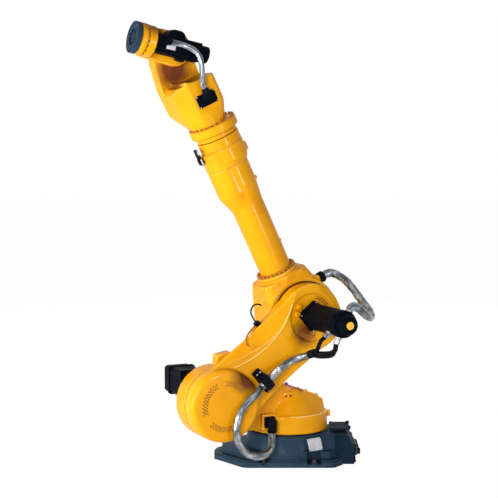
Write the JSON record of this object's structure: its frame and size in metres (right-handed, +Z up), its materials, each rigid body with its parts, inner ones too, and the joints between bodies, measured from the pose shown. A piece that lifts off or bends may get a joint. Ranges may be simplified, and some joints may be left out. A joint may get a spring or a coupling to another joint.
{
  "type": "industrial robot arm",
  "caption": "Floor-standing articulated industrial robot arm with a turning base, leaning lower arm, long tubular upper arm, bending wrist and round tool flange.",
  "frame": {"origin": "point where the first (vertical) axis meets the floor, in the plane of the base's underside", "axes": "+X forward along the base from its rear connector box to its nose, +Y to the left side of the base, +Z up along the first axis"},
  "size_m": [1.4873, 0.9713, 2.6928],
  "materials": {
    "yellow_paint": "gloss",
    "slate_paint": "satin",
    "black_motor": "satin",
    "black_plastic": "matte",
    "brown_cable": "matte",
    "bright_steel": "brushed",
    "bare_plate": "satin",
    "foil_sleeve": "crinkled"
  },
  "bodies": {
    "base": {"base_casting": "slate_paint", "turret_bearing": "bright_steel", "connector_box": "slate_paint", "box_lid": "slate_paint", "connector_panel": "black_motor", "panel_sockets": "bright_steel", "nameplate": "bare_plate"},
    "turret": {"turret_casting": "yellow_paint", "hood_cover": "yellow_paint", "turn_motor": "black_motor", "shoulder_reducer": "bright_steel", "shoulder_motor": "black_motor", "shoulder_motor_cap": "black_motor", "turret_gland": "black_plastic", "lower_conduit": "foil_sleeve"},
    "lower_link": {"lower_arm": "yellow_paint", "shoulder_cover": "yellow_paint", "conduit_clamp": "black_plastic", "arm_conduit": "foil_sleeve", "elbow_motor_flange": "black_motor", "elbow_motor": "black_motor", "elbow_motor_cap": "black_motor", "elbow_motor_plugs": "bright_steel", "elbow_reducer": "bright_steel", "cable_bracket": "yellow_paint", "cable_plug": "black_plastic", "bracket_cable": "brown_cable"},
    "upper_link": {"elbow_casting": "yellow_paint", "elbow_gland": "black_plastic", "elbow_conduit": "foil_sleeve", "sensor_cable": "black_plastic", "arm_tube": "yellow_paint", "tube_head": "yellow_paint", "reducer_ring": "yellow_paint", "head_connector": "black_plastic", "forearm_reducer": "bright_steel"},
    "wrist": {"wrist_flange": "yellow_paint", "wrist_housing": "yellow_paint", "wrist_plate": "black_motor", "wrist_gland": "black_plastic", "wrist_reducer": "bright_steel"},
    "wrist_head": {"head_casting": "yellow_paint", "gear_ring": "yellow_paint", "tool_motor": "black_motor", "tool_motor_cap": "black_motor", "tool_motor_plugs": "black_motor", "wrist_conduit": "foil_sleeve", "flange_reducer": "bright_steel"},
    "tool": {"tool_flange": "slate_paint"}
  },
  "joints": [
    {"name": "turret_turn", "type": "hinge", "parent": "base", "child": "turret", "pos_m": [0, 0, 0], "axis": [0, 0, 1], "range_deg": [-180, 180]},
    {"name": "lower_arm_swing", "type": "hinge", "parent": "turret", "child": "lower_link", "pos_m": [0.50753, 0.23667, 0.421], "axis": [-0.4226, 0.9063, 0], "range_deg": [-4, 126], "deforming": ["lower_conduit"]},
    {"name": "upper_arm_swing", "type": "hinge", "parent": "lower_link", "child": "upper_link", "pos_m": [-0.04185, -0.01951, 0.91187], "axis": [0.4226, -0.9063, 0], "range_deg": [-73, 76], "deforming": ["elbow_conduit", "sensor_cable"]},
    {"name": "forearm_roll", "type": "hinge", "parent": "upper_link", "child": "wrist", "pos_m": [-0.04185, -0.01951, 0.91187], "axis": [0.3902, 0.1819, 0.9026], "range_deg": [-180, 180]},
    {"name": "wrist_bend", "type": "hinge", "parent": "wrist", "child": "wrist_head", "pos_m": [0.66047, 0.30798, 2.53652], "axis": [0.4226, -0.9063, 0], "range_deg": [-70, 180], "deforming": ["wrist_conduit"]},
    {"name": "tool_roll", "type": "hinge", "parent": "wrist_head", "child": "tool", "pos_m": [0.66047, 0.30798, 2.53652], "axis": [0.8865, 0.4134, 0.2079], "range_deg": [-360, 360]}
  ]
}
